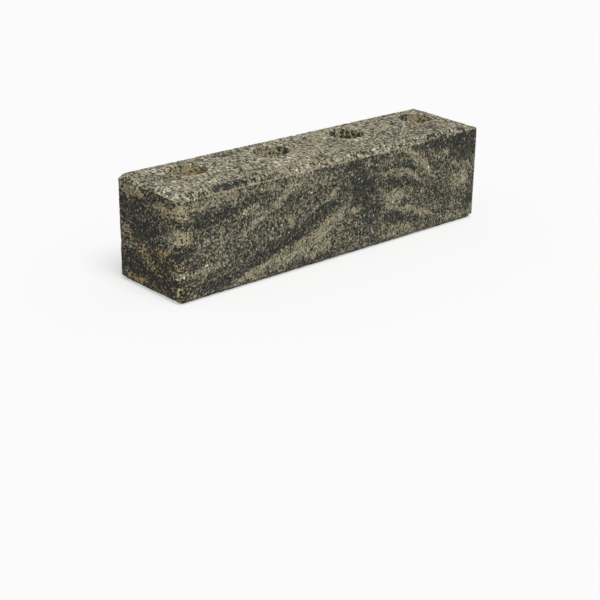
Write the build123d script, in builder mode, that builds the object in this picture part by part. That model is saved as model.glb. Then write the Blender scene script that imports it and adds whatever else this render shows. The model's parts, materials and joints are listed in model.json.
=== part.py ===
from build123d import *
import os

# Facing brick, narrow format: one pressed block with a row of round cores.
# Millimetres. Origin: centre of the bottom bed. +X along the length, +Z up,
# and the show face looks along -Y.

# Driving dimensions
length = 250.0
width = 60.0
height = 65.0

# Edges: both beds are bevelled all round, the upright corners are rounded
bed_bevel = 3.0
corner_radius = 4.0

# Cores: one straight row behind the middle, evenly spaced between its two ends
core_count = 4
core_diameter = 22.0
core_from_left_end = 37.0
core_from_right_end = 21.0
core_from_back_face = 21.0
core_mouth_radius = 1.0

# Places worked out from the driving dimensions
row_left_x = -length / 2 + core_from_left_end
row_right_x = length / 2 - core_from_right_end
row_y = width / 2 - core_from_back_face
core_pitch = (row_right_x - row_left_x) / (core_count - 1)


with BuildPart() as facing_brick:
    # Block: the plan outline pressed up from the bottom bed
    with BuildSketch():
        RectangleRounded(length, width, corner_radius)
    extrude(amount=height)

    # Bevels: round the outline of both beds, before the cores are opened
    beds = facing_brick.faces().filter_by(Axis.Z)
    chamfer(beds.edges(), length=bed_bevel)

    # Cores: straight holes from bed to bed
    with Locations(((row_left_x + row_right_x) / 2, row_y, height)):
        with GridLocations(core_pitch, 0, core_count, 1):
            Hole(radius=core_diameter / 2)

    # Mouths: the rim of each core is worn round at both beds
    rims = facing_brick.edges(Select.LAST).filter_by(GeomType.CIRCLE)
    fillet(rims, radius=core_mouth_radius)

facing_brick.part.label = "facing_brick"

os.makedirs("parts", exist_ok=True)
export_step(facing_brick.part, "parts/facing_brick.step")
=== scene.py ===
import json
import math
from itertools import starmap
from typing import NamedTuple

import bmesh
import bpy
from bpy.props import FloatProperty, FloatVectorProperty, IntProperty, PointerProperty
from bpy.types import Operator, Panel, PropertyGroup
from mathutils import Matrix, Vector


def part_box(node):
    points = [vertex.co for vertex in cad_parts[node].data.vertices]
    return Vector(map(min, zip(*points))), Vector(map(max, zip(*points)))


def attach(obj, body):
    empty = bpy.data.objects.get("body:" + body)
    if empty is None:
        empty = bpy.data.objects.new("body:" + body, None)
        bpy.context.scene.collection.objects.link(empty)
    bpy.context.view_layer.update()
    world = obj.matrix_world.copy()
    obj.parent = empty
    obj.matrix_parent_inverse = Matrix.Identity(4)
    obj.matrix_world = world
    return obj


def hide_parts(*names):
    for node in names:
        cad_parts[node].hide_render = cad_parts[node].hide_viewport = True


bl_info = {
    "name": "Facing Brick",
    "version": (1, 0, 0),
    "blender": (4, 5, 0),
    "location": "View3D > Sidebar > Brick",
    "description": "Makes a narrow facing brick of marbled pressed concrete, and the stage it is shown on",
    "category": "Add Mesh",
}

# The brick as it was built: its box, its bed bevel line and its row of cores
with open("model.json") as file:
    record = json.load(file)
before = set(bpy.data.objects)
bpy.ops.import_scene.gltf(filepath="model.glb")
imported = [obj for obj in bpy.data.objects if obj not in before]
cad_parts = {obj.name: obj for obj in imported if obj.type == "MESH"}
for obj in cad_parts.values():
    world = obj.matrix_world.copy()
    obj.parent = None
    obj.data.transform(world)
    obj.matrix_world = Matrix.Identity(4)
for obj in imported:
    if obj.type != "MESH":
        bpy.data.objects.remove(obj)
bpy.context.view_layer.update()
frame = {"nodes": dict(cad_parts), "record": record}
NODE = "facing_brick"
SLOT = "pressed_concrete"
MM = 0.001
LOW, HIGH = (Vector(corner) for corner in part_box(NODE))
LENGTH, WIDTH, HEIGHT = HIGH - LOW
CORES = sorted(
    (mount for mount in frame["record"]["mounts"] if mount["kind"] == "bore"),
    key=lambda mount: mount["pos_m"][0],
)
CORE_RADIUS = CORES[0]["dims"]["r_mm"] * MM
CORE_FIRST_X, CORE_ROW_Y = CORES[0]["pos_m"][:2]
CORE_PITCH = CORES[1]["pos_m"][0] - CORE_FIRST_X
BED_BEVEL = 3.0 * MM


# Settings


class BrickSurfaceSettings(PropertyGroup):
    """How rough the pressed surfaces are."""

    grid_depth: IntProperty(
        name="Grid Depth",
        description="Fineness of the faces that carry the relief: 8 makes them about 1 mm",
        default=8,
        min=5,
        max=9,
    )
    bed_grain: FloatProperty(
        name="Bed Grain",
        description="Depth of the open grain on the two beds",
        default=0.45 * MM,
        unit="LENGTH",
        subtype="DISTANCE",
    )
    face_grain: FloatProperty(
        name="Face Grain",
        description="Depth of the fine grain on the upright faces",
        default=0.2 * MM,
        unit="LENGTH",
        subtype="DISTANCE",
    )
    pit_depth: FloatProperty(
        name="Pit Depth",
        description="Depth of the small pits where a grain came away",
        default=0.5 * MM,
        unit="LENGTH",
        subtype="DISTANCE",
    )
    edge_crumble: FloatProperty(
        name="Edge Crumble",
        description="Depth of the crumbled spots along the edges and the core mouths",
        default=0.22 * MM,
        unit="LENGTH",
        subtype="DISTANCE",
    )
    core_grain: FloatProperty(
        name="Core Grain",
        description="Depth of the rough grain on the core walls",
        default=0.8 * MM,
        unit="LENGTH",
        subtype="DISTANCE",
    )
    worn_end: FloatProperty(
        name="Worn End",
        description="How far the top bed is worn down at its right front corner",
        default=2.8 * MM,
        unit="LENGTH",
        subtype="DISTANCE",
    )
    seed: IntProperty(
        name="Seed",
        description="Moves every random pattern of the relief",
        default=7,
        min=0,
    )


class BrickColourSettings(PropertyGroup):
    """The pigments of the concrete, as linear colours."""

    beige: FloatVectorProperty(
        name="Beige",
        description="The light pigment",
        subtype="COLOR",
        size=3,
        default=(0.505, 0.452, 0.315),
    )
    charcoal: FloatVectorProperty(
        name="Charcoal",
        description="The dark pigment",
        subtype="COLOR",
        size=3,
        default=(0.024, 0.028, 0.028),
    )
    cement: FloatVectorProperty(
        name="Cement",
        description="Grey paste between the grains",
        subtype="COLOR",
        size=3,
        default=(0.24, 0.225, 0.18),
    )
    chip: FloatVectorProperty(
        name="Chip",
        description="Pale chips of stone",
        subtype="COLOR",
        size=3,
        default=(0.84, 0.77, 0.64),
    )


class BrickStageSettings(PropertyGroup):
    """Floor, light and camera."""

    floor_colour: FloatVectorProperty(
        name="Floor",
        description="Colour of the floor",
        subtype="COLOR",
        size=3,
        default=(0.42, 0.42, 0.42),
    )
    sky_strength: FloatProperty(
        name="Sky",
        description="Strength of the even light from all sides",
        default=0.34,
        min=0.0,
    )
    key_strength: FloatProperty(
        name="Key Light",
        description="Strength of the soft light above the show face",
        default=2.45,
        min=0.0,
    )
    azimuth: FloatProperty(
        name="Azimuth",
        description="Direction of the camera round the brick, 0 looking along +Y",
        default=math.radians(-42.12),
        subtype="ANGLE",
        unit="ROTATION",
    )
    elevation: FloatProperty(
        name="Elevation",
        description="Angle of the camera above the horizon",
        default=math.radians(22.14),
        subtype="ANGLE",
        unit="ROTATION",
    )
    roll: FloatProperty(
        name="Roll",
        description="Tilt of the camera about its line of sight",
        default=math.radians(0.73),
        subtype="ANGLE",
        unit="ROTATION",
    )
    distance: FloatProperty(
        name="Distance",
        description="From the camera to the point that it looks at",
        default=0.868,
        unit="LENGTH",
        subtype="DISTANCE",
    )
    lens: FloatProperty(
        name="Focal Length",
        description="Focal length on a sensor 36 mm wide",
        default=80.2,
        unit="CAMERA",
    )


# Wiring of node trees


class Sheet:
    """A node tree being wired: each call adds a node and gives back its output."""

    # Where a Mix node keeps its two values and its result
    mix_sockets = {"FLOAT": (2, 3, 0), "RGBA": (6, 7, 2)}

    def __init__(self, tree):
        self.tree = tree

    def join(self, value, socket):
        """Links an output to the socket, or sets the socket to a plain value."""
        if isinstance(value, bpy.types.NodeSocket):
            self.tree.links.new(value, socket)
        else:
            socket.default_value = value

    def add(self, kind, *values, output=0, named=None, **settings):
        """Adds a node with its settings, and with its inputs in their order or by name."""
        node = self.tree.nodes.new(kind)
        for name, setting in settings.items():
            setattr(node, name, setting)
        for socket, value in zip(node.inputs, values):
            self.join(value, socket)
        for name, value in (named or {}).items():
            self.join(value, node.inputs[name])
        return node.outputs[output]

    def give(self, value, kind="NodeGroupOutput"):
        """Links the tree's result to its output node."""
        self.join(value, self.tree.nodes.new(kind).inputs[0])

    def math(self, operation, *values):
        return self.add("ShaderNodeMath", *values, operation=operation)

    def chain(self, operation, values):
        """Takes the values together one by one, from the first on."""
        result, *others = values
        for value in others:
            result = self.math(operation, result, value)
        return result

    def product(self, *values):
        return self.chain("MULTIPLY", values)

    def total(self, *values):
        return self.chain("ADD", values)

    def greatest(self, *values):
        return self.chain("MAXIMUM", values)

    def weighed(self, start, *pairs):
        """The start, and each value times its weight."""
        return self.total(start, *(self.product(value, weight) for value, weight in pairs))

    def less(self, value, taken):
        return self.math("SUBTRACT", value, taken)

    def rest(self, share):
        """What a share leaves of 1."""
        return self.less(1.0, share)

    def size(self, value):
        """The value without its sign."""
        return self.math("ABSOLUTE", value)

    def hypotenuse(self, first, second):
        return self.math("SQRT", self.total(self.product(first, first), self.product(second, second)))

    def vector(self, operation, *values):
        return self.add("ShaderNodeVectorMath", *values, operation=operation)

    def scaled(self, vector, factor):
        return self.add("ShaderNodeVectorMath", vector, named={"Scale": factor}, operation="SCALE")

    def parts(self, vector):
        return tuple(self.add("ShaderNodeSeparateXYZ", vector).node.outputs)

    def step(self, value, low, high):
        """A soft step: 0 at low, 1 at high, which may be the smaller number."""
        return self.add(
            "ShaderNodeMapRange",
            named={"Value": value, "From Min": low, "From Max": high},
            interpolation_type="SMOOTHSTEP",
        )

    def noise(self, place, size, detail=2.0, roughness=0.5, output=0):
        """Cloudy noise with lumps about size across."""
        return self.add(
            "ShaderNodeTexNoise",
            named={"Vector": place, "Scale": 1.0 / size, "Detail": detail, "Roughness": roughness},
            output=output,
            noise_dimensions="3D",
        )

    def cells(self, place, size):
        """Random cells about size across: distance from the cell's middle, and three random numbers."""
        distance = self.add(
            "ShaderNodeTexVoronoi",
            named={"Vector": place, "Scale": 1.0 / size},
            output="Distance",
            voronoi_dimensions="3D",
            feature="F1",
        )
        return (distance, *self.parts(distance.node.outputs["Color"]))

    def between(self, share, first, second, kind="FLOAT", mode="MIX"):
        """Number first at share 0, second at share 1."""
        low, high, output = self.mix_sockets[kind]
        node = self.tree.nodes.new("ShaderNodeMix")
        node.data_type = kind
        node.blend_type = mode
        for place, value in ((0, share), (low, first), (high, second)):
            self.join(value, node.inputs[place])
        return node.outputs[output]

    def blend(self, share, first, second, mode="MIX"):
        """Colour first at share 0, second at share 1."""
        return self.between(share, first, second, "RGBA", mode)

    def specks(self, place, size, rarity, reach):
        """1 in the middle of a few random cells, and a random number for each cell."""
        distance, chance, other, _ = self.cells(place, size)
        near = self.step(distance, reach + 0.12, reach - 0.12)
        return self.product(self.math("GREATER_THAN", chance, rarity), near), other


def new_group(name, kind, inputs, outputs):
    """A new node group with named sockets: its sheet, and its inputs as they arrive inside."""
    tree = bpy.data.node_groups.new(name, kind)
    for direction, sockets in (("INPUT", inputs), ("OUTPUT", outputs)):
        for label, socket_kind in sockets:
            tree.interface.new_socket(label, in_out=direction, socket_type=socket_kind)
    return Sheet(tree), tree.nodes.new("NodeGroupInput").outputs


def emptied_tree(owner):
    """The node tree of a new material or world, without its first nodes."""
    owner.use_nodes = True
    owner.node_tree.nodes.clear()
    return owner.node_tree


def opaque(colour):
    return (*colour, 1.0)


# The pressed surface: relief by Geometry Nodes

# Sizes of the random patterns
GRAIN = 2.4 * MM
SWELL = 7.0 * MM
PIT_SPACING = 8.0 * MM
BRITTLE_PATCH = 9.0 * MM

# Where the relief is nil: what is shallower stands out, as far as the brick's box lets it
NIL_RELIEF = 0.12 * MM
WORN_LENGTH = 24.0 * MM
# Angle between two faces, in radians, over which their edge stays sharp
CREASE = 0.45
SEED_SHIFT = (0.0131, 0.0173, 0.0119)

SHAPE_NUMBERS = {
    "Length": LENGTH,
    "Width": WIDTH,
    "Height": HEIGHT,
    "Core Radius": CORE_RADIUS,
    "Core First X": CORE_FIRST_X,
    "Core Pitch": CORE_PITCH,
    "Core Row Y": CORE_ROW_Y,
    "Bed Bevel": BED_BEVEL,
}
DEPTHS = ("Bed Grain", "Face Grain", "Pit Depth", "Edge Crumble", "Core Grain", "Worn End")
SURFACE_INPUTS = (
    ("Geometry", "NodeSocketGeometry"),
    *((name, "NodeSocketFloat") for name in (*SHAPE_NUMBERS, *DEPTHS)),
    ("Seed", "NodeSocketInt"),
    ("Material", "NodeSocketMaterial"),
)

# Marks from 0 to 1 that the surface stores and the material reads, among them the painted shade of pits
# and of the gaps between grains
MARKS = ("bed", "core", "broken", "hollow", "coarse", "arris")


def arris_closeness(sheet, inputs, place):
    """1 on the arrises of the bevels and the upright corners, 0 a little way off.

    Gives the depth below the nearer bed too.
    """
    x, y, z = sheet.parts(place)
    gaps = [
        sheet.less(sheet.product(inputs[name], 0.5), sheet.size(coordinate))
        for coordinate, name in ((x, "Length"), (y, "Width"))
    ]
    half_height = sheet.product(inputs["Height"], 0.5)
    bed_gap = sheet.less(half_height, sheet.size(sheet.less(z, half_height)))
    nearer = sheet.math("MINIMUM", *gaps)
    further = sheet.math("MAXIMUM", *gaps)
    # The middle one of the three gaps is the bevel's width along every arris
    middle = sheet.greatest(nearer, sheet.math("MINIMUM", further, bed_gap))
    off_arris = sheet.size(sheet.less(middle, inputs["Bed Bevel"]))
    return sheet.step(off_arris, 2.2 * MM, 0.2 * MM), bed_gap


def core_distance(sheet, inputs, place):
    """Distance from the axis of the nearest core."""
    x, y, _ = sheet.parts(place)
    half_pitch = sheet.product(inputs["Core Pitch"], 0.5)
    from_first = sheet.less(x, inputs["Core First X"])
    across = sheet.math("WRAP", from_first, half_pitch, sheet.product(half_pitch, -1.0))
    return sheet.hypotenuse(across, sheet.less(y, inputs["Core Row Y"]))


def worn_down(sheet, inputs, place):
    """The place, lowered where the right end of the top bed is worn down towards the front."""
    x, y, z = sheet.parts(place)
    end_gap = sheet.less(sheet.product(inputs["Length"], 0.5), x)
    to_front = sheet.less(0.5, sheet.math("DIVIDE", y, inputs["Width"]))
    worn = sheet.product(inputs["Worn End"], sheet.step(end_gap, WORN_LENGTH, 1.0 * MM), to_front)
    ceiling = sheet.less(inputs["Height"], worn)
    return sheet.add("ShaderNodeCombineXYZ", x, y, sheet.math("MINIMUM", z, ceiling))


def kept_inside(sheet, inputs, place):
    """The place, held inside the brick's box."""
    low, high = (
        [sheet.product(inputs[name], side) for name in ("Length", "Width")] for side in (-0.5, 0.5)
    )
    low_corner = sheet.add("ShaderNodeCombineXYZ", *low)
    top_corner = sheet.add("ShaderNodeCombineXYZ", *high, inputs["Height"])
    return sheet.vector("MINIMUM", sheet.vector("MAXIMUM", place, low_corner), top_corner)


def finished_geometry(sheet, inputs, moved, marks):
    """Stores the marks, sets the shading, moves the points and lays the material on."""
    geometry = inputs["Geometry"]
    for name, value in zip(MARKS, marks):
        geometry = sheet.add(
            "GeometryNodeStoreNamedAttribute",
            named={"Geometry": geometry, "Name": name, "Value": value},
            data_type="FLOAT",
            domain="POINT",
        )
    geometry = sheet.add("GeometryNodeSetShadeSmooth", named={"Geometry": geometry, "Shade Smooth": True})
    crease = sheet.math("GREATER_THAN", sheet.add("GeometryNodeInputMeshEdgeAngle"), CREASE)
    geometry = sheet.add(
        "GeometryNodeSetShadeSmooth",
        named={"Geometry": geometry, "Selection": crease, "Shade Smooth": False},
        domain="EDGE",
    )
    geometry = sheet.add("GeometryNodeSetPosition", named={"Geometry": geometry, "Position": moved})
    geometry = sheet.add("GeometryNodeRealizeInstances", geometry)
    return sheet.add(
        "GeometryNodeSetMaterial", named={"Geometry": geometry, "Material": inputs["Material"]}
    )


def surface_tree():
    """Roughens an even grid of faces as pressed concrete, inwards only, and marks what shows where."""
    sheet, inputs = new_group(
        "pressed surface", "GeometryNodeTree", SURFACE_INPUTS, (("Geometry", "NodeSocketGeometry"),)
    )
    place = sheet.add("GeometryNodeInputPosition")
    normal = sheet.add("GeometryNodeInputNormal")
    spot = sheet.vector("ADD", place, sheet.scaled(SEED_SHIFT, inputs["Seed"]))

    # Where on the brick a point lies
    arris, bed_gap = arris_closeness(sheet, inputs, place)
    wall_gap = sheet.less(core_distance(sheet, inputs, place), inputs["Core Radius"])
    steepness = sheet.size(sheet.parts(normal)[2])
    bed = sheet.step(steepness, 0.35, 0.65)
    core = sheet.product(sheet.step(wall_gap, 1.3 * MM, 0.3 * MM), sheet.rest(bed))
    mouth = sheet.product(
        sheet.step(wall_gap, 3.5 * MM, 0.5 * MM), sheet.step(bed_gap, 5.0 * MM, 1.0 * MM)
    )
    upright = sheet.rest(sheet.greatest(bed, core))

    # Grains of sand: each stands at its own height, with a recessed rim round it
    off_grain, height_pick, loss_pick, _ = sheet.cells(spot, GRAIN)
    rim = sheet.step(off_grain, 0.25, 0.75)
    swell = sheet.noise(spot, SWELL)
    uneven = sheet.total(sheet.product(rim, 0.5), sheet.product(height_pick, 0.5))
    depth = sheet.total(
        sheet.product(inputs["Bed Grain"], bed),
        sheet.product(inputs["Face Grain"], upright),
        sheet.product(inputs["Core Grain"], core),
    )
    lumps = sheet.total(sheet.product(uneven, 0.7), sheet.product(swell, 0.5))
    grain_relief = sheet.product(depth, lumps, sheet.weighed(1.0, (arris, -0.7)))

    # Pits where single grains came away
    off_pit, pit_pick, pit_size, _ = sheet.cells(spot, PIT_SPACING)
    pit_reach = sheet.weighed(0.1, (pit_size, 0.14))
    hole = sheet.step(sheet.less(off_pit, pit_reach), 0.06, -0.06)
    pit = sheet.product(sheet.step(pit_pick, 0.5, 0.52), hole)
    pit_relief = sheet.product(inputs["Pit Depth"], pit)

    # Along the arrises and the mouths whole grains are lost
    brittle = sheet.greatest(arris, mouth)
    patchy = sheet.step(sheet.noise(spot, BRITTLE_PATCH), 0.4, 0.65)
    lost = sheet.step(sheet.weighed(loss_pick, (patchy, 0.35)), 0.72, 0.8)
    broken = sheet.product(brittle, lost)
    crumbled = sheet.total(sheet.product(broken, 0.75), sheet.product(brittle, uneven, 0.35))
    broken_relief = sheet.product(inputs["Edge Crumble"], crumbled)

    relief = sheet.less(sheet.total(grain_relief, pit_relief, broken_relief), NIL_RELIEF)
    lowered = worn_down(sheet, inputs, place)
    moved = sheet.vector("SUBTRACT", lowered, sheet.scaled(normal, relief))
    moved = kept_inside(sheet, inputs, moved)

    # Painted shade: how deep a point lies in a pit or between the grains of the beds and cores, for the
    # material to darken
    hollow = sheet.greatest(pit, sheet.product(sheet.greatest(bed, core), uneven, 0.7))
    coarse = sheet.product(bed, sheet.step(wall_gap, 10.0 * MM, 2.0 * MM))
    marks = (bed, core, broken, hollow, coarse, arris)
    sheet.give(finished_geometry(sheet, inputs, moved, marks))
    return sheet.tree


def set_inputs(modifier, values):
    """Sets a Geometry Nodes modifier's inputs, found by name, through their identifiers."""
    for item in modifier.node_group.interface.items_tree:
        if item.item_type == "SOCKET" and item.in_out == "INPUT" and item.name in values:
            modifier[item.identifier] = values[item.name]


# The marbled concrete

# Tints that the colour is multiplied by, and the near-black painted shade laid in pores, holes and pits
WARMER = (1.08, 1.0, 0.78, 1.0)
COOLER = (0.9, 1.0, 1.12, 1.0)
EARTHY = (1.02, 0.81, 0.5, 1.0)
PORE_SHADE = (0.012, 0.012, 0.011, 1.0)

# Sizes of the random patterns
SLOW_WANDER = 24 * MM
QUICK_WANDER = 6 * MM
EARTHY_CLOUD = 26 * MM
WARM_PATCH = 5.0 * MM
WARM_GRAIN = 1.7 * MM
CORE_RUN = 3.2 * MM
FINE_GRAIN = 0.8 * MM
OPEN_GRAIN = 1.1 * MM
FINE_HAZE = 1.3 * MM
OPEN_HAZE = 1.4 * MM
SAND = 1.2 * MM
CHIP = 1.4 * MM
BIG_CHIP = 2.1 * MM
PORE_SIZE = 1.3 * MM
HOLE_SIZE = 1.7 * MM
DUST = 0.9 * MM

# How the grains' places are stretched on the upright faces and on the beds, and the runs in the cores
GRAIN_STRETCH = (1.0, 0.75, 0.85)
OPEN_STRETCH = (1.15, 0.62, 0.85)
RUN_STRETCH = (1.0, 1.0, 0.3)

# The marbling through the block: its lean, and its frequency per mm
MARBLING_TURN = (0.25, math.radians(-22), 0.2)
MARBLING_SCALE = (0.022, 0.05, 0.085)

# The wisps: their rise, their frequency per mm, and the point on the show face that they curl round
WISP_RISE = math.radians(22)
WISP_SCALE = (0.055, 0.24, 0.1)
CURL_X, CURL_Z = 47.0, 24.0
CURL_STEEPNESS = 1.25
CURL_RADIUS = 26.0

# Tone from charcoal to beige: its middle, what a place adds to it, its limits, and the veins' weight
MIDDLE_TONE = 0.51
# Painted light: the core walls are made lighter against the shade inside the cores
CORE_PAINTED_LIGHT = 0.42
BED_TONE = 0.255
# Painted shade: the left end is made darker, as a face turned from the light
END_PAINTED_SHADE = -0.045
# Painted highlight along the upper front arris
ARRIS_HIGHLIGHT_TONE = 0.55
DARKEST_TONE = -0.35
FULLEST_TONE = 0.95
VEIN_WEIGHT = 0.62


class Vein(NamedTuple):
    """A vein of one face: a lens about its middle.

    Lengths are in mm, the strength goes from charcoal (negative) to beige (positive), the rise is in
    degrees and the bend is per mm.
    """

    label: str
    along: float
    up: float
    half_length: float
    half_width: float
    strength: float
    rise: float = 0.0
    bend: float = 0.0


# Veins on the show face: along and up to the middle, and the rest as in Vein. The strength's sign
# says which are beige and which are charcoal
SHOW_FACE_VEINS = (
    ("stripe, low", -62, 8, 30, 4, 0.42, 7),
    ("stripe, middle", -30, 15, 18, 5, 0.38, 20),
    ("stripe, left shoulder", -49, 15, 9, 2.4, 0.26, 8),
    ("stripe, rising", -9, 25, 16, 4.6, 0.5, 33),
    ("stripe, branch", -20, 11, 12, 3.5, 0.42, 20),
    ("stripe, lower branch", -13, 17.5, 9, 3, 0.22, 32),
    ("stripe, head", -9, 29.5, 4, 3, 0.3),
    ("notch over the stripe", -29, 23, 5, 3.2, -0.5, 20),
    ("line under the top edge", -103, 57.5, 23, 3, 0.5, 3),
    ("at the near corner", -123.5, 40, 3.5, 4.2, 0.7, 60),
    ("at the head of the corner", -123, 55, 3.5, 6, 0.6),
    ("foot, left", -108, 17.5, 17, 2.6, 0.3, 3),
    ("field, left", -104, 31, 8, 4.5, 0.32),
    ("upright wisp", -95, 30, 14, 2, 0.2, 85),
    ("slope, left", -89, 35, 9, 2.4, 0.26, 32),
    ("diagonal, upper left", -66, 42, 27, 3.4, 0.3, 25),
    ("diagonal, foot", -70, 35.5, 10, 3, 0.34, 25),
    ("fleck, upper left", -72, 47, 7, 2.5, 0.4, 10),
    ("fleck, upper middle", -49, 49, 8, 2.6, 0.22, 32),
    ("fleck, middle", -40, 34, 3.5, 4, 0.42),
    ("fleck, top", -58, 57.5, 8, 3, 0.45),
    ("fleck, top left", -80, 53, 5, 3, 0.25),
    ("field, top", -29, 55, 20, 6, 0.26),
    ("hook, left", -7, 43, 8, 2.4, 0.4, 50),
    ("below the hook", -9, 42, 8, 4, 0.32, 15),
    ("hook, right", 8, 40, 13, 1.6, 0.45, 85),
    ("fleck by the mass", 14.5, 29, 5.5, 3, 1.1),
    ("outer arch", 66, 53, 21, 2.5, 0.55, -34, -0.008),
    ("second arch", 57, 45.5, 19, 2.2, 0.4, -22, -0.011),
    ("heart of the arches", 45, 30.5, 9, 5.5, 0.32),
    ("heart, right side", 55, 32, 9, 5, 0.3, -5),
    ("tail of the arches", 66, 18, 24, 2.2, 0.6, -19, -0.003),
    ("patch, right", 108, 31, 12, 5, 0.36),
    ("patch, right, heart", 113, 30, 4, 3, 0.35),
    ("slope, right", 99, 47, 10, 2.2, 0.42, -42),
    ("between the arches, right", 78, 41.5, 8, 3.2, 0.45, -30),
    ("field by the right edge", 114, 38.5, 5.5, 4, 0.38),
    ("foot, middle", 51, 6.5, 11, 2.6, 0.28),
    ("foot, right", 105, 6, 20, 2.6, 0.3),
    ("upper left", -98, 47.5, 17, 4.2, -0.65, 2),
    ("upper left, heart", -107, 47, 5, 4, -0.2),
    ("by the near corner", -115, 39, 4, 2.4, -0.25),
    ("gap at the near corner", -122, 49.5, 5, 2.4, -0.26),
    ("upper left, rising", -72, 53, 14, 2.6, -0.35, 8),
    ("long charcoal stripe, low", -85, 9.5, 22, 3.5, -0.5, 12),
    ("long charcoal stripe, middle", -53, 20.5, 18, 4.8, -0.7, 18),
    ("long charcoal stripe, rising", -20, 31.5, 22, 3.4, -0.65, 24),
    ("foot, left", -110, 7, 16, 3, -0.4),
    ("under the stripe", -32, 4.5, 16, 2, -0.4, 3),
    ("haze, left", -44, 45, 6, 5, -0.15, 30),
    ("haze, middle", -25, 44, 5, 5, -0.1),
    ("in the hook", 3, 44, 3, 3.5, -0.15),
    ("mass", 14, 44, 6.5, 17, -1.1),
    ("mass, right side", 22, 42, 7.5, 8, -0.7),
    ("mass, head", 9, 59, 5, 3.5, -0.55),
    ("above the mass, right", 32, 52, 4, 3, -0.35),
    ("mass, neck", 21, 31, 4, 8, -0.35),
    ("mass, left foot", 6, 30, 3.5, 3, -0.3),
    ("mass, foot", 26, 24, 9, 6.5, -0.95, -35),
    ("haze, foot", 14, 15, 8, 4, -0.2),
    ("outer arch", 50, 50.5, 17, 2.2, -0.5, -8, -0.012),
    ("over the outer arch", 65, 60.5, 5, 4, -0.5),
    ("inner arch", 49, 40.5, 20, 2.4, -0.75, -10, -0.008),
    ("corner, right", 98, 60, 28, 4.5, -1.1),
    ("corner, right, heart", 110, 53, 13, 9, -1.15),
    ("haze, right", 80, 27, 8, 6, -0.2, -40),
    ("haze, low right", 96, 20, 6, 5, -0.2),
    ("haze, upper right", 94, 46, 7, 2.5, -0.25, 45),
    ("below the heart", 47, 16.5, 9, 3.5, -0.75, -8),
    ("slope to the foot", 62, 11.5, 16, 2.2, -0.25, -22),
    ("fleck, right foot", 85, 12.5, 6, 1.5, -0.3, -25),
    ("at the right edge", 117, 15, 6, 4, -0.35),
    ("under the corner", 100, 47, 7, 3, -0.2, -20),
)

# Veins on the left end: across from the front, up, and the rest as above
END_VEINS = (
    ("line under the top edge", 46, 58.5, 14, 4, 0.5),
    ("earthy spot under the top edge", 36.5, 58.7, 4, 2, 0.5),
    ("ochre fleck near the corner", 14, 55, 7, 3.2, 0.7, -8),
    ("field near the corner", 9, 43, 9, 9, 0.3),
    ("blob on the corner", 0.5, 40, 2.8, 4.5, 0.7),
    ("at the head of the corner", 1.5, 55, 3.5, 6, 0.6),
    ("earthy streak", 36, 25, 18, 4, 0.34, 34),
    ("earthy streak, foot", 26, 16.5, 7, 3.2, 0.25, 30),
    ("ochre fleck", 15, 28, 6.5, 2, 0.75, -24),
    ("ochre wisp", 9, 32.5, 6, 1.6, 0.35, -38),
    ("line at the foot", 43, 6, 12, 2.2, 0.65),
    ("by the corner, low", 2.5, 20, 3, 5, 0.35),
    ("by the corner, foot", 4, 8, 5, 2.5, 0.25),
    ("haze at the back", 52, 29, 8, 9, 0.38),
    ("upper back", 53, 50, 5, 4, -0.45),
    ("upper middle", 39, 50.5, 7, 4.5, -0.6),
    ("belt", 33, 38.5, 13, 4.6, -0.85),
    ("belt, heart", 28, 40, 4, 5, -0.2),
    ("lower back", 47, 12.5, 13, 5, -1.1),
    ("lower middle", 28, 10, 7, 4, -0.7),
    ("by the corner", 3.5, 30.5, 4, 3.5, -0.6, -20),
    ("gap by the corner", 1.5, 49, 4, 2.4, -0.2),
    ("by the corner, foot", 5, 13.5, 3, 3.5, -0.4),
    ("foot", 14, 9, 6, 4, -0.3),
)

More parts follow.
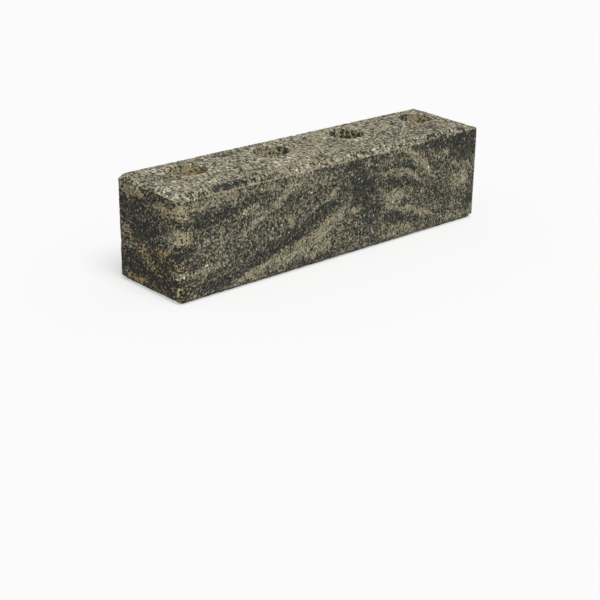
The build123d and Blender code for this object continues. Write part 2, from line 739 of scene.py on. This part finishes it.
# Veins on the top bed: along, across from the middle, and the rest as above
BED_VEINS = (
    ("near corner", -108, -15, 16, 5, 0.2),
    ("before the first core", -82, 1, 16, 6, 0.5),
    ("behind the first core", -89, 21, 7, 3, 0.5),
    ("pale chips at the near corner", -121, -25, 5, 3, 0.7),
    ("fleck near the first core", -90, -18, 6, 2.5, 0.4, 20),
    ("back corner", -105, 22, 8, 4, 0.45),
    ("round the first core", -86, -3, 12, 3, 0.3),
    ("at the left edge", -121, -13, 4, 13, 0.4),
    ("front edge", -87, -27, 16, 3.2, -0.6),
    ("by the front edge", -65, -22, 4, 3, -0.4),
    ("at the end", -115, 10, 3.5, 5, -0.1),
    ("at the back", -52, 19, 14, 4.5, -0.45),
    ("chip streak", -44, -3, 6, 1.6, 0.6, 35),
    ("middle", -31, -11, 13, 6, 0.45, 20),
    ("middle, front", -42, -18, 6, 3, 0.3),
    ("front, middle", -38, -20, 8, 5, 0.18),
    ("middle, right", -5, -2, 12, 12, 0.16),
    ("front, right of the middle", 1, -16, 8, 4, 0.2),
    ("flecks, left middle", -9, 8, 4, 3, 0.3),
    ("flecks, middle", 11, 9, 4, 3, 0.35),
    ("at the back of the second core", -28, 19, 8, 2.5, 0.4),
    ("fleck", -11, -21, 4, 3, -0.3),
    ("tan spot", 22, 11, 4, 4, 0.25),
    ("by the third core", 22, 2, 5, 6, -0.3),
    ("chips by the third core", 34, -7, 9, 5, 0.42),
    ("chip at the front", 40, -26, 3.2, 2.2, 0.7, 80),
    ("chip at the front, second", 67, -26.5, 3, 2, 0.7),
    ("chip at the front, third", 57, -26, 3, 2.5, 0.4),
    ("at the front", 45, -29, 6, 1.6, -0.25),
    ("at the front, right", 111, -26, 5, 3, -0.5),
    ("streak, right", 79, -6, 10, 1.6, 0.5, 45),
    ("fleck, right", 70, 3, 4, 4, 0.2),
    ("mottle", 62, -10, 5, 6, -0.25),
    ("mottle, back", 82, 8, 6, 4, -0.1, 20),
    ("mottle, right", 94, -15, 6, 3, -0.1, 20),
    ("right corner", 112, -18, 4, 5, 0.15),
    ("before the fourth core", 108, -1, 7, 3.5, 0.35),
    ("round the fourth core", 108, 18, 8, 4, 0.35),
    ("grey haze, right end", 100, 2, 30, 24, -0.08),
    ("back edge, right", 94, 26, 16, 2.5, -0.15),
    ("by the first core", -111, 10, 4, 7, -0.3),
    ("by the third core", 24, 9, 4, 5, 0.2),
)

# Streaks down the far walls of the cores, partly pigment and partly painted light and shade: lighter where
# a wall faces the light, darker where it is turned from it. Along, up, and the rest as above
CORE_LIGHT_SHADE_AND_STREAKS = (
    ("wall of the first core", -81, 54, 11, 12, 0.5),
    ("in the first core", -84, 60, 2, 6, -0.2),
    ("in the second core", -22, 52, 2.5, 6, -0.2),
    ("in the second core, right", -14, 58, 2, 9, -0.2),
    ("in the first core, left", -96, 57, 5, 12, -0.95),
    ("in the second core, left", -30, 55, 6, 12, -0.6),
    ("in the third core", 42, 52, 18, 13, -0.75),
    ("in the fourth core", 97, 57, 4, 12, -0.95),
    ("in the fourth core, right", 107, 57, 2, 12, -0.75),
    ("wall of the fourth core", 114, 55, 8, 12, 0.45),
    ("wall of the second core", -16, 55, 4, 10, 0.3),
)

# Ochre on the left end and on the corner by it: across from the front, up, and the rest as above
OCHRE_VEINS = (
    ("under the top edge", 36.5, 58.7, 6, 2.6, 0.7),
    ("near the corner", 14, 55, 6, 4, 0.8, -10),
    ("fleck", 16, 27.5, 7, 2.6, 1, -22),
    ("streak, upper", 42, 29, 13, 5.5, 0.4, 34),
    ("streak, lower", 27, 19, 12, 6, 0.55, 30),
    ("foot, back", 45, 5.5, 16, 3, 0.9),
    ("foot, front", 20, 3, 26, 4, 0.7),
    ("haze", 20, 14, 22, 16, 0.4),
)


VEIN_INPUTS = (
    *("Pigment", "Along", "Up", "Middle Along", "Middle Up"),
    *("Half Length", "Half Width", "Strength", "Rise", "Bend"),
)


def vein_tree():
    """A soft lens-shaped vein, laid over the pigment that comes in."""
    sheet, inputs = new_group(
        "vein",
        "ShaderNodeTree",
        ((name, "NodeSocketFloat") for name in VEIN_INPUTS),
        (("Pigment", "NodeSocketFloat"),),
    )
    along = sheet.less(inputs["Along"], inputs["Middle Along"])
    up = sheet.less(inputs["Up"], inputs["Middle Up"])
    cosine = sheet.math("COSINE", inputs["Rise"])
    sine = sheet.math("SINE", inputs["Rise"])
    lengthwise = sheet.total(sheet.product(along, cosine), sheet.product(up, sine))
    square = sheet.product(lengthwise, lengthwise)
    across = sheet.less(sheet.product(up, cosine), sheet.product(along, sine))
    across = sheet.less(across, sheet.product(square, inputs["Bend"]))
    long_share = sheet.math("DIVIDE", lengthwise, inputs["Half Length"])
    wide_share = sheet.math("DIVIDE", across, inputs["Half Width"])
    reach = sheet.total(sheet.product(long_share, long_share), sheet.product(wide_share, wide_share))
    cover = sheet.step(reach, 1.7, 0.2)
    sheet.give(sheet.weighed(inputs["Pigment"], (cover, inputs["Strength"])))
    return sheet.tree


class Concrete(Sheet):
    """The concrete's node tree, with the places and the shares that all its parts read."""

    def __init__(self, tree, colours):
        super().__init__(tree)
        self.beige, self.charcoal = opaque(colours.beige), opaque(colours.charcoal)
        self.cement, self.chip = opaque(colours.cement), opaque(colours.chip)
        self.vein_tree = vein_tree()
        self.place = self.add("ShaderNodeTexCoord", output="Object")
        self.grain_place = self.vector("MULTIPLY", self.place, GRAIN_STRETCH)
        self.open_place = self.vector("MULTIPLY", self.place, OPEN_STRETCH)
        self.bed, self.core, self.broken, self.hollow, self.coarse, self.arris = (
            self.add("ShaderNodeAttribute", output="Fac", attribute_name=name) for name in MARKS
        )
        self.true_x, true_y, self.true_z = self.parts(self.place)
        self.spot = self.wandering()
        self.x, self.y, self.z = self.parts(self.spot)
        self.from_front = self.total(self.y, 0.5 * WIDTH / MM)

        # Shares of the three seen faces: each fades out below its face
        self.bed_share = self.product(self.bed, self.step(self.true_z, 52 * MM, 60 * MM))
        inside_bed = self.rest(self.bed_share)
        self.show_share = self.product(self.step(true_y, -17 * MM, -27 * MM), inside_bed)
        self.end_share = self.product(self.step(self.true_x, -112 * MM, -123 * MM), inside_bed)

        # Three random numbers of each grain
        fine = self.cells(self.grain_place, FINE_GRAIN)
        open_grain = self.cells(self.open_place, OPEN_GRAIN)
        self.first_pick, self.second_pick, self.third_pick = (
            self.between(self.bed, *pair) for pair in zip(fine[1:], open_grain[1:])
        )

    def wandering(self):
        """The place in mm, pushed about so that the veins fray and wander."""
        slow = self.noise(self.place, SLOW_WANDER, 2.0, 0.5, output=1)
        quick = self.noise(self.place, QUICK_WANDER, 3.0, 0.6, output=1)
        slow, quick = (self.vector("SUBTRACT", value, (0.5, 0.5, 0.5)) for value in (slow, quick))
        push = self.vector("ADD", self.scaled(slow, 6.0), self.scaled(quick, 5.0))
        return self.vector("ADD", self.scaled(self.place, 1.0 / MM), push)

    def lay_veins(self, veins, along, up):
        """The pigment of one face's veins, as a sum about 0."""
        pigment = 0.0
        for vein in starmap(Vein, veins):
            lens = vein._replace(rise=math.radians(vein.rise))[1:]
            pigment = self.add(
                "ShaderNodeGroup", pigment, along, up, *lens, node_tree=self.vein_tree, label=vein.label
            )
        return pigment

    def marbling(self):
        """Marbling that runs through the whole block."""
        leaning = self.add(
            "ShaderNodeMapping",
            named={"Vector": self.spot, "Rotation": MARBLING_TURN, "Scale": MARBLING_SCALE},
        )
        swirl = self.noise(leaning, 1.0, 2.5, 0.55)
        return self.product(self.less(swirl, 0.5), 1.6)

    def wisps(self):
        """Fine wisps that rise to the right, and curl from the middle of the show face on."""
        off_x = self.less(self.x, CURL_X)
        off_z = self.product(self.less(self.z, CURL_Z), CURL_STEEPNESS)
        turn = self.product(self.math("ARCTAN2", off_z, off_x), CURL_RADIUS)
        curl = self.step(self.true_x, 2 * MM, 26 * MM)
        rising = self.less(
            self.product(self.z, math.cos(WISP_RISE)), self.product(self.x, math.sin(WISP_RISE))
        )
        across = self.between(curl, rising, self.hypotenuse(off_x, off_z))
        along = self.between(curl, self.x, turn)
        place = self.add("ShaderNodeCombineXYZ", along, across, self.product(self.y, 0.5))
        wisps = self.noise(self.vector("MULTIPLY", place, WISP_SCALE), 1.0, 3.0, 0.6)
        return self.product(self.less(wisps, 0.5), 0.75)

    def tone(self, core_shading_and_streaks):
        """How beige a place is, as a number that may run over its limits."""
        veins = self.total(
            self.product(self.show_share, self.lay_veins(SHOW_FACE_VEINS, self.x, self.z)),
            self.product(self.end_share, self.lay_veins(END_VEINS, self.from_front, self.z)),
            self.product(self.bed_share, self.lay_veins(BED_VEINS, self.x, self.y)),
            self.product(self.core, core_shading_and_streaks),
        )
        # Painted highlight: the upper front arris is made lighter, as where the top light falls on its
        # bevel
        upper = self.step(self.true_z, 60 * MM, 61 * MM)
        arris_highlight = self.product(self.show_share, self.step(self.arris, 0.45, 0.9), upper)
        # Runs down the core walls
        runs = self.noise(self.vector("MULTIPLY", self.place, RUN_STRETCH), CORE_RUN, 2.0, 0.6)
        # The marbling keeps back where veins are laid
        seen = self.greatest(self.show_share, self.end_share, self.bed_share)
        return self.weighed(
            MIDDLE_TONE,
            (self.marbling(), self.weighed(1.0, (seen, -0.8))),
            (veins, VEIN_WEIGHT),
            (self.core, CORE_PAINTED_LIGHT),
            (self.wisps(), self.weighed(1.0, (self.bed, -0.5))),
            (self.bed, BED_TONE),
            (self.end_share, END_PAINTED_SHADE),
            (self.core, self.product(self.less(runs, 0.5), 4.0)),
            (arris_highlight, ARRIS_HIGHLIGHT_TONE),
        )

    def light_grains(self, pigment):
        """1 on light grains and 0 on dark ones: more of the one where its pigment is stronger."""
        haze = self.between(
            self.bed,
            self.noise(self.grain_place, FINE_HAZE, 3.0, 0.7),
            self.noise(self.open_place, OPEN_HAZE, 3.0, 0.7),
        )
        clouds = self.product(self.less(haze, 0.5), 1.3)
        scatter = self.total(self.product(self.first_pick, 0.85), clouds, 0.05)
        softness = self.weighed(0.44, (self.end_share, -0.16), (self.bed, -0.37))
        return self.step(self.less(pigment, scatter), self.product(softness, -1.0), softness)

    def grain_colour(self, light_share):
        """The colour of the dark and the light grains, with a little grey paste."""
        grey_rarity = self.weighed(0.72, (self.end_share, -0.25))
        grey_grain = self.step(self.third_pick, grey_rarity, self.total(grey_rarity, 0.18))
        flint = self.blend(self.product(grey_grain, 0.35), self.charcoal, self.cement)
        # Painted shade: dark grains on the left end are made darker still
        end_shading = self.weighed(1.0, (self.end_share, -0.35))
        dark_shade = self.product(end_shading, self.weighed(0.28, (self.second_pick, 0.9)))
        # Painted light: light grains are made lighter in the cores, against their shade
        light_shade = self.weighed(0.55, (self.second_pick, 0.7), (self.core, 0.36))
        dark_grain = self.scaled(flint, dark_shade)
        light_grain = self.scaled(self.beige[:3], light_shade)
        colour = self.blend(light_share, dark_grain, light_grain)
        return self.blend(self.weighed(0.03, (self.bed, 0.03)), colour, self.cement)

    def tinted(self, colour, core_shading_and_streaks):
        """Warmer and cooler grains and patches, and an earthy tint on the end and in the cores."""
        pick = self.cells(self.place, WARM_GRAIN)[1]
        hue = self.total(self.product(pick, 0.6), self.noise(self.place, WARM_PATCH, 3.0, 0.6), -0.3)
        colour = self.blend(1.0, colour, self.blend(hue, COOLER, WARMER), "MULTIPLY")
        cloud = self.step(self.noise(self.place, EARTHY_CLOUD, 2.0, 0.5), 0.52, 0.75)
        ochre = self.product(self.end_share, self.lay_veins(OCHRE_VEINS, self.from_front, self.z))
        tint = self.total(
            self.product(cloud, 0.1),
            self.product(self.end_share, 0.15),
            self.product(ochre, 0.55),
            self.product(self.core, self.weighed(0.12, (self.greatest(core_shading_and_streaks, 0.0), 0.65))),
        )
        return self.blend(self.math("MINIMUM", tint, 1.0), colour, EARTHY, "MULTIPLY")

    def sprinkled(self, colour, share, pigment, shade):
        """Lays grains of a pigment over the colour, each in its own shade."""
        return self.blend(share, colour, self.scaled(pigment[:3], self.weighed(*shade)))

    def standing_out(self, colour, open_share, light_share, excess):
        """Lays beige grains and pale chips of stone over the colour."""
        sand, pick = self.specks(self.grain_place, SAND, 0.86, 0.4)
        sand = self.product(sand, self.weighed(0.3, (light_share, 0.5), (self.end_share, 0.2)))
        colour = self.sprinkled(colour, sand, self.beige, (0.7, (pick, 0.5)))

        # Chips of stone, and pale grains where the tone runs over its upper limit on the bed
        rarity = self.weighed(0.985, (open_share, -0.22))
        chips, pick = self.specks(self.grain_place, CHIP, rarity, 0.42)
        chips = self.product(chips, self.weighed(0.4, (light_share, 0.55)))
        over = self.step(excess, 0.0, 0.25)
        pale = self.product(self.bed, light_share, over, self.step(self.second_pick, 0.3, 0.8), 0.75)
        chips = self.greatest(chips, pale)
        colour = self.sprinkled(colour, chips, self.chip, (0.85, (pick, 0.6)))

        big_chips, pick = self.specks(self.grain_place, BIG_CHIP, 0.8, 0.4)
        big_chips = self.product(big_chips, self.greatest(self.coarse, self.broken), 0.85)
        return self.sprinkled(colour, big_chips, self.chip, (0.6, (pick, 0.5)))

    def pores(self, open_share):
        """1 in small pores, and in larger holes on the beds and in the cores."""
        # More pores on the left end and in the cores, and darker ones on the end, as part of the painted
        # shade
        dark_share = self.greatest(open_share, self.end_share, self.core)
        rarity = self.weighed(0.8, (dark_share, -0.2))
        pores, pick = self.specks(self.grain_place, PORE_SIZE, rarity, 0.4)
        pores = self.product(pores, self.weighed(0.5, (pick, 0.5), (self.end_share, 0.3)))
        holes, pick = self.specks(self.grain_place, HOLE_SIZE, 0.72, 0.42)
        holes = self.product(holes, self.greatest(self.bed, self.core), self.weighed(0.5, (pick, 0.5)))
        return self.greatest(pores, holes)

    def bump(self, pores):
        """Fine bump, below the size of the mesh's own relief."""
        dust = self.noise(self.grain_place, DUST, 3.0, 0.7)
        return self.add(
            "ShaderNodeBump",
            named={
                "Height": self.weighed(dust, (self.first_pick, 0.35), (pores, -0.9)),
                "Strength": 0.8,
                "Distance": self.weighed(0.3 * MM, (self.bed, 0.5 * MM)),
            },
        )


def concrete_material(colours):
    """Pressed concrete, coloured in the mass: beige and charcoal grains, marbled."""
    material = bpy.data.materials.new(SLOT)
    sheet = Concrete(emptied_tree(material), colours)

    # The pigment of a place, from charcoal to beige, with painted light and shade in the cores, painted
    # shade on the left end and a painted highlight along the upper front arris
    core_shading_and_streaks = sheet.lay_veins(CORE_LIGHT_SHADE_AND_STREAKS, sheet.x, sheet.z)
    tone = sheet.tone(core_shading_and_streaks)
    fullest = sheet.weighed(FULLEST_TONE, (sheet.bed, -0.12))
    excess = sheet.greatest(sheet.less(tone, fullest), 0.0)
    tone = sheet.math("MINIMUM", sheet.greatest(tone, DARKEST_TONE), fullest)
    light_share = sheet.light_grains(sheet.product(tone, sheet.size(tone)))

    # More grains stand out, and there are more pores, on the beds, round the cores and along broken edges
    open_share = sheet.greatest(sheet.product(sheet.bed, 0.5), sheet.broken, sheet.coarse)
    pores = sheet.pores(open_share)
    colour = sheet.tinted(sheet.grain_colour(light_share), core_shading_and_streaks)
    colour = sheet.standing_out(colour, open_share, light_share, excess)
    # Painted shade: pores, holes and the recesses of the relief are darkened towards near black
    shade = sheet.greatest(pores, sheet.product(sheet.hollow, 0.45))
    colour = sheet.blend(sheet.product(shade, 0.95), colour, PORE_SHADE)

    shader = sheet.add(
        "ShaderNodeBsdfPrincipled",
        named={
            "Base Color": colour,
            "Roughness": sheet.weighed(0.95, (sheet.first_pick, -0.12)),
            "Normal": sheet.bump(pores),
            "Specular IOR Level": 0.25,
        },
    )
    sheet.give(shader, "ShaderNodeOutputMaterial")
    return material


# Pieces


class FACINGBRICK_OT_make_brick(Operator):
    """Make the pressed brick with its rough beds, broken edges and marbled concrete"""

    bl_idname = "facing_brick.make_brick"
    bl_label = "Make Brick"
    bl_options = {"REGISTER", "UNDO"}

    # Share of the grid's box that the brick's length takes up
    grid_fill = 0.99
    # Points of the CAD mesh that lie closer than this become one
    same_point = 0.001 * MM

    def execute(self, context):
        surface = context.scene.brick_surface
        piece = self.even_grid(context, surface)
        roughen = piece.modifiers.new("Pressed surface", "NODES")
        roughen.node_group = surface_tree()
        depths = {name: getattr(surface, name.lower().replace(" ", "_")) for name in DEPTHS}
        material = concrete_material(context.scene.brick_colours)
        set_inputs(roughen, {**SHAPE_NUMBERS, **depths, "Seed": surface.seed, "Material": material})
        graph = context.evaluated_depsgraph_get()
        rough = bpy.data.meshes.new_from_object(piece.evaluated_get(graph), depsgraph=graph)
        if not rough.polygons:
            raise RuntimeError("the pressed surface came out empty")
        piece.modifiers.clear()
        piece.data = rough
        rough.name = piece.name
        print("pressed_brick:", len(rough.vertices), "points,", len(rough.polygons), "faces")

        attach(piece, "root")
        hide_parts(NODE)
        return {"FINISHED"}

    def even_grid(self, context, surface):
        """The CAD body's own shape, merged and cut into even faces."""
        work = bmesh.new()
        work.from_mesh(frame["nodes"][NODE].data)
        bmesh.ops.remove_doubles(work, verts=work.verts, dist=self.same_point)
        mesh = bpy.data.meshes.new("pressed_brick")
        work.to_mesh(mesh)
        work.free()
        piece = bpy.data.objects.new("pressed_brick", mesh)
        context.scene.collection.objects.link(piece)
        grid = piece.modifiers.new("Even grid", "REMESH")
        grid.mode = "SHARP"
        grid.octree_depth = surface.grid_depth
        grid.scale = self.grid_fill
        return piece


class FACINGBRICK_OT_make_stage(Operator):
    """Make the pale floor, the soft light and the camera"""

    bl_idname = "facing_brick.make_stage"
    bl_label = "Make Stage"
    bl_options = {"REGISTER", "UNDO"}

    white = (1.0, 1.0, 1.0, 1.0)
    bright_floor = (0.9, 0.9, 0.9, 1.0)
    floor_half_size = 6.0
    key_softness = math.radians(35)
    key_direction = (-0.12, -0.44, 0.9)
    # The camera looks at a point below the brick and a little to its left, as in the photograph
    aim_height = -32.5 * MM
    aim_aside = -4.92 * MM
    aim_lift = -5.03 * MM
    sensor_width = 36.0
    nearest_seen = 10.0 * MM

    def execute(self, context):
        settings = context.scene.brick_stage
        self.floor(context, settings)
        self.sky(context, settings)
        self.key_light(context, settings)
        self.camera(context, settings)
        context.scene.view_settings.view_transform = "Standard"
        return {"FINISHED"}

    def floor(self, context, settings):
        size = self.floor_half_size
        mesh = bpy.data.meshes.new("floor")
        corners = [(-size, -size, 0.0), (size, -size, 0.0), (size, size, 0.0), (-size, size, 0.0)]
        mesh.from_pydata(corners, [], [(0, 1, 2, 3)])
        plane = bpy.data.objects.new("floor", mesh)
        context.scene.collection.objects.link(plane)
        mesh.materials.append(self.floor_material(settings))

    def floor_material(self, settings):
        """Pale matt floor that the camera sees as nearly white, with the brick's shadow on it."""
        material = bpy.data.materials.new("pale floor")
        sheet = Sheet(emptied_tree(material))
        matt = sheet.add("ShaderNodeBsdfDiffuse", opaque(settings.floor_colour))
        bright = sheet.add("ShaderNodeBsdfDiffuse", self.bright_floor)
        glow = sheet.add("ShaderNodeEmission", self.white, 1.0)
        nearly_white = sheet.add("ShaderNodeMixShader", 0.5, bright, glow)
        both = sheet.add("ShaderNodeMixShader", self.seen_directly(sheet), matt, nearly_white)
        sheet.give(both, "ShaderNodeOutputMaterial")
        return material

    def seen_directly(self, sheet):
        """1 for rays from the camera and for those by way of gloss or glass."""
        path = sheet.tree.nodes.new("ShaderNodeLightPath").outputs
        return sheet.greatest(
            path["Is Camera Ray"], path["Is Glossy Ray"], path["Is Transmission Ray"]
        )

    def sky(self, context, settings):
        world = bpy.data.worlds.new("soft sky")
        sheet = Sheet(emptied_tree(world))
        light = sheet.add("ShaderNodeBackground", self.white, settings.sky_strength)
        backdrop = sheet.add("ShaderNodeBackground", self.white, 1.0)
        both = sheet.add("ShaderNodeMixShader", self.seen_directly(sheet), light, backdrop)
        sheet.give(both, "ShaderNodeOutputWorld")
        context.scene.world = world

    def key_light(self, context, settings):
        lamp = bpy.data.lights.new("key light", "SUN")
        lamp.angle = self.key_softness
        lamp.energy = settings.key_strength
        holder = bpy.data.objects.new("key light", lamp)
        direction = Vector(self.key_direction).normalized()
        turn = direction.to_track_quat("Z", "Y").to_matrix().to_4x4()
        holder.matrix_world = Matrix.Translation(direction) @ turn
        context.scene.collection.objects.link(holder)

    def camera(self, context, settings):
        turn, lift, roll = settings.azimuth, settings.elevation, settings.roll
        back = Vector((math.sin(turn) * math.cos(lift), -math.cos(turn) * math.cos(lift), math.sin(lift)))
        level_right = Vector((math.cos(turn), math.sin(turn), 0.0))
        level_up = back.cross(level_right)
        aim = Vector((0.0, 0.0, self.aim_height)) + level_right * self.aim_aside + level_up * self.aim_lift
        right = level_right * math.cos(roll) + level_up * math.sin(roll)
        up = level_up * math.cos(roll) - level_right * math.sin(roll)
        lens = bpy.data.cameras.new("camera")
        lens.sensor_width = self.sensor_width
        lens.lens = settings.lens
        lens.clip_start = self.nearest_seen
        holder = bpy.data.objects.new("camera", lens)
        matrix = Matrix((right, up, back)).transposed().to_4x4()
        matrix.translation = aim + back * settings.distance
        holder.matrix_world = matrix
        context.scene.collection.objects.link(holder)
        context.scene.camera = holder


class FACINGBRICK_PT_panel(Panel):
    """Settings and buttons of the facing brick"""

    bl_idname = "FACINGBRICK_PT_panel"
    bl_label = "Facing Brick"
    bl_space_type = "VIEW_3D"
    bl_region_type = "UI"
    bl_category = "Brick"

    def draw(self, context):
        layout = self.layout
        for group, operator in (
            (context.scene.brick_surface, None),
            (context.scene.brick_colours, FACINGBRICK_OT_make_brick),
            (context.scene.brick_stage, FACINGBRICK_OT_make_stage),
        ):
            for name in group.bl_rna.properties.keys():
                if name not in ("rna_type", "name"):
                    layout.prop(group, name)
            if operator:
                layout.operator(operator.bl_idname)


CLASSES = (
    BrickSurfaceSettings,
    BrickColourSettings,
    BrickStageSettings,
    FACINGBRICK_OT_make_brick,
    FACINGBRICK_OT_make_stage,
    FACINGBRICK_PT_panel,
)


def register():
    for item in CLASSES:
        bpy.utils.register_class(item)
    bpy.types.Scene.brick_surface = PointerProperty(type=BrickSurfaceSettings)
    bpy.types.Scene.brick_colours = PointerProperty(type=BrickColourSettings)
    bpy.types.Scene.brick_stage = PointerProperty(type=BrickStageSettings)


def unregister():
    del bpy.types.Scene.brick_stage
    del bpy.types.Scene.brick_colours
    del bpy.types.Scene.brick_surface
    for item in reversed(CLASSES):
        bpy.utils.unregister_class(item)


def main():
    register()
    bpy.ops.facing_brick.make_brick()
    bpy.ops.facing_brick.make_stage()


if __name__ == "__main__":
    main()
